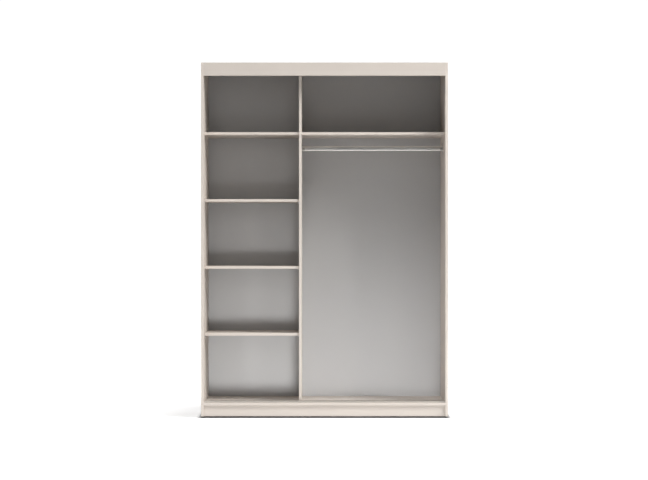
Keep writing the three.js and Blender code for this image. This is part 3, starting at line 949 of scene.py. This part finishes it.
FLOOR_REACH = 60.0
FLOOR_SHADE = 0.9
# painted contact shadow: the floor's colour under the carcass
SHADE_UNDER_CARCASS = 0.15
CONTACT_SHADE = 30 * MM  # how far the painted shadow under the carcass fades out beyond it
NEAR_GLOW, FAR_GLOW = 0.42, 1.02
GLOW_FROM, GLOW_TO = 0.9, 1.8  # metres from the middle, where the glow starts and ends rising
AMBIENT = 0.03  # strength of the world as light
BACKDROP = 1.05  # and as seen


def build_floor():
    mesh = bpy.data.meshes.new("floor")
    bm = bmesh.new()
    corners = ((-1, -1), (1, -1), (1, 1), (-1, 1))
    bm.faces.new([bm.verts.new((x * FLOOR_REACH, y * FLOOR_REACH, 0)) for x, y in corners])
    bm.to_mesh(mesh)
    bm.free()
    mesh.materials.append(make_floor())
    floor = bpy.data.objects.new("floor", mesh)
    floor.visible_shadow = False  # the low lamps in front shine up through it
    bpy.context.scene.collection.objects.link(floor)


def beyond(s, value, limit):
    """How far the size of a coordinate is past a limit."""
    return s.sum(s.sum(value, 0.0, "ABSOLUTE"), -limit)


def make_floor():
    """Pale matt floor, with a painted contact shadow: dark under the carcass, fading out just beyond
    it.

    Its glow whitens it for the eye, more with distance, and lights nothing."""
    s = Surface("floor", (FLOOR_SHADE,) * 3, 0.9)
    s.shader.inputs["Specular IOR Level"].default_value = 0.1
    split = s.add("ShaderNodeSeparateXYZ", Vector=s.place)
    outside = s.sum(beyond(s, split.outputs["X"], CAD_BOX[1].x),
                    beyond(s, split.outputs["Y"], CAD_BOX[1].y), "MAXIMUM")
    # painted shadow: colour and glow fade to dark under the carcass
    beyond_painted_shadow = s.spread(outside, 0.0, 1.0, 0.0, CONTACT_SHADE)
    mottled = s.spread(s.noise(1.5, 3.0), 0.98, 1.0)
    dark, pale = (SHADE_UNDER_CARCASS,) * 3, (FLOOR_SHADE,) * 3
    s.colour(s.blend(s.sum(beyond_painted_shadow, mottled, "MULTIPLY"), dark, pale))
    away = s.add("ShaderNodeVectorMath")
    away.operation = "LENGTH"
    s.feed(away.inputs[0], s.place)
    glow = s.spread(away.outputs["Value"], NEAR_GLOW, FAR_GLOW, GLOW_FROM, GLOW_TO)
    seen = s.add("ShaderNodeLightPath").outputs["Is Camera Ray"]
    s.shader.inputs["Emission Color"].default_value = (1.0, 1.0, 1.0, 1.0)
    strength = s.sum(s.sum(glow, beyond_painted_shadow, "MULTIPLY"), seen, "MULTIPLY")
    s.feed(s.shader.inputs["Emission Strength"], strength)
    return s.material


def build_world():
    """A white backdrop for the eye, and a dimmer even light for the scene."""
    world = bpy.data.worlds.new("studio")
    world.use_nodes = True
    bpy.context.scene.world = world
    tree = world.node_tree
    background = tree.nodes["Background"]
    seen = tree.nodes.new("ShaderNodeLightPath").outputs["Is Camera Ray"]
    strength = tree.nodes.new("ShaderNodeMapRange")
    strength.inputs["To Min"].default_value = AMBIENT
    strength.inputs["To Max"].default_value = BACKDROP
    tree.links.new(seen, strength.inputs["Value"])
    tree.links.new(strength.outputs["Result"], background.inputs["Strength"])
    background.inputs["Color"].default_value = (1.0, 1.0, 1.0, 1.0)


def add_lamp(data, place, aim):
    lamp = bpy.data.objects.new(data.name, data)
    lamp.location = place
    lamp.rotation_euler = (aim - place).to_track_quat("-Z", "Y").to_euler()
    lamp.visible_camera = False
    bpy.context.scene.collection.objects.link(lamp)
    return lamp


SOFTBOX_SIZE = 5.0
SOFTBOX_DISTANCE = 12.0


def softbox(name, azimuth, elevation, power):
    """A square area light aimed at the wardrobe. Azimuth 0 is in front of it, 90 on its right."""
    low, high = CAD_BOX
    target = (low + high) / 2
    turn, lift = math.radians(azimuth), math.radians(elevation)
    way = Vector((math.sin(turn) * math.cos(lift), -math.cos(turn) * math.cos(lift), math.sin(lift)))
    data = bpy.data.lights.new(name, "AREA")
    data.shape = "SQUARE"
    data.size = SOFTBOX_SIZE
    data.energy = power
    return add_lamp(data, target + way * SOFTBOX_DISTANCE, target)


BOUNCE_DEPTH = -6.3  # the low lamps' place in front of the wardrobe
BOUNCE_CONE = 50  # degrees across
BOUNCE_RADIUS = 0.5
BOUNCE_AIM = -1.3  # the height that they point at, below the floor


def bounce(name, power, across, height, aim=BOUNCE_AIM, only=()):
    """A soft lamp low in front, strongest at the plinth and gone at the top, as light off the floor."""
    data = bpy.data.lights.new(name, "SPOT")
    data.spot_size = math.radians(BOUNCE_CONE)
    data.spot_blend = 1.0
    data.shadow_soft_size = BOUNCE_RADIUS
    data.energy = power
    lamp = add_lamp(data, Vector((across, BOUNCE_DEPTH, height)), Vector((0, 0, aim)))
    light_only(lamp, only)


def light_only(lamp, names):
    """Keeps a lamp's light to some pieces."""
    if names:
        receivers = bpy.data.collections.new(f"lit_by_{lamp.name}")
        for name in names:
            receivers.objects.link(bpy.data.objects[name])
        lamp.light_linking.receiver_collection = receivers


def build_lights():
    """Two soft keys from the upper right and left, one overhead, two behind, and low light in front.

    The back sheets and the plinth have lamps of their own, whose light falls on nothing else, so
    that the bays brighten downwards alike."""
    left_back, right_back = "left_back_sheet_panel", "right_back_sheet_panel"
    plinth = "front_plinth_board"
    softbox("key_right", 57, 35, 1420)
    softbox("key_left", -32, 55, 380)
    softbox("overhead", 15, 70, 130)
    softbox("rear_left", -125, 30, 380)
    softbox("rear_right", 150, 35, 300)
    bounce("bounce_left", 235, -3.0, -0.4)
    bounce("bounce_right", 215, 3.0, -0.4)
    bounce("bounce_on_plinth", 330, 0.6, -0.4, only=[plinth])
    bounce("bounce_on_left_back", 1290, 0.3, -0.4, only=[left_back])
    bounce("bounce_on_right_back", 480, 0.3, 0.2, only=[right_back])
    bounce("low_bounce_on_right_back", 760, 1.0, 0.3, -1.8, [right_back])
    light_only(softbox("front_on_left_back", 0, 8, 165), [left_back])
    light_only(softbox("front_on_right_back", 0, 8, 90), [right_back])


def build_camera():
    low, high = CAD_BOX
    data = bpy.data.cameras.new("camera")
    data.sensor_width = SENSOR
    data.lens = SENSOR * CAMERA_DISTANCE / VIEW_WIDTH
    data.clip_end = CAMERA_SIGHT
    camera = bpy.data.objects.new("camera", data)
    middle = (low + high) / 2
    camera.location = (middle.x + CAMERA_ASIDE, low.y - CAMERA_DISTANCE, middle.z + CAMERA_RISE)
    camera.rotation_euler = (math.radians(90), 0, 0)
    bpy.context.scene.collection.objects.link(camera)
    bpy.context.scene.camera = camera


build_boards()
build_cam_fittings()
build_divider_screws()
build_cover_caps()
build_back_sheets()
build_tracks()
build_rod()
for side_name, facing in (("left", 1), ("right", -1)):
    build_bracket(side_name, facing)
build_shelf_pins()
build_glides()
build_floor()
build_world()
build_lights()
build_camera()
bpy.context.scene.view_settings.view_transform = "Standard"
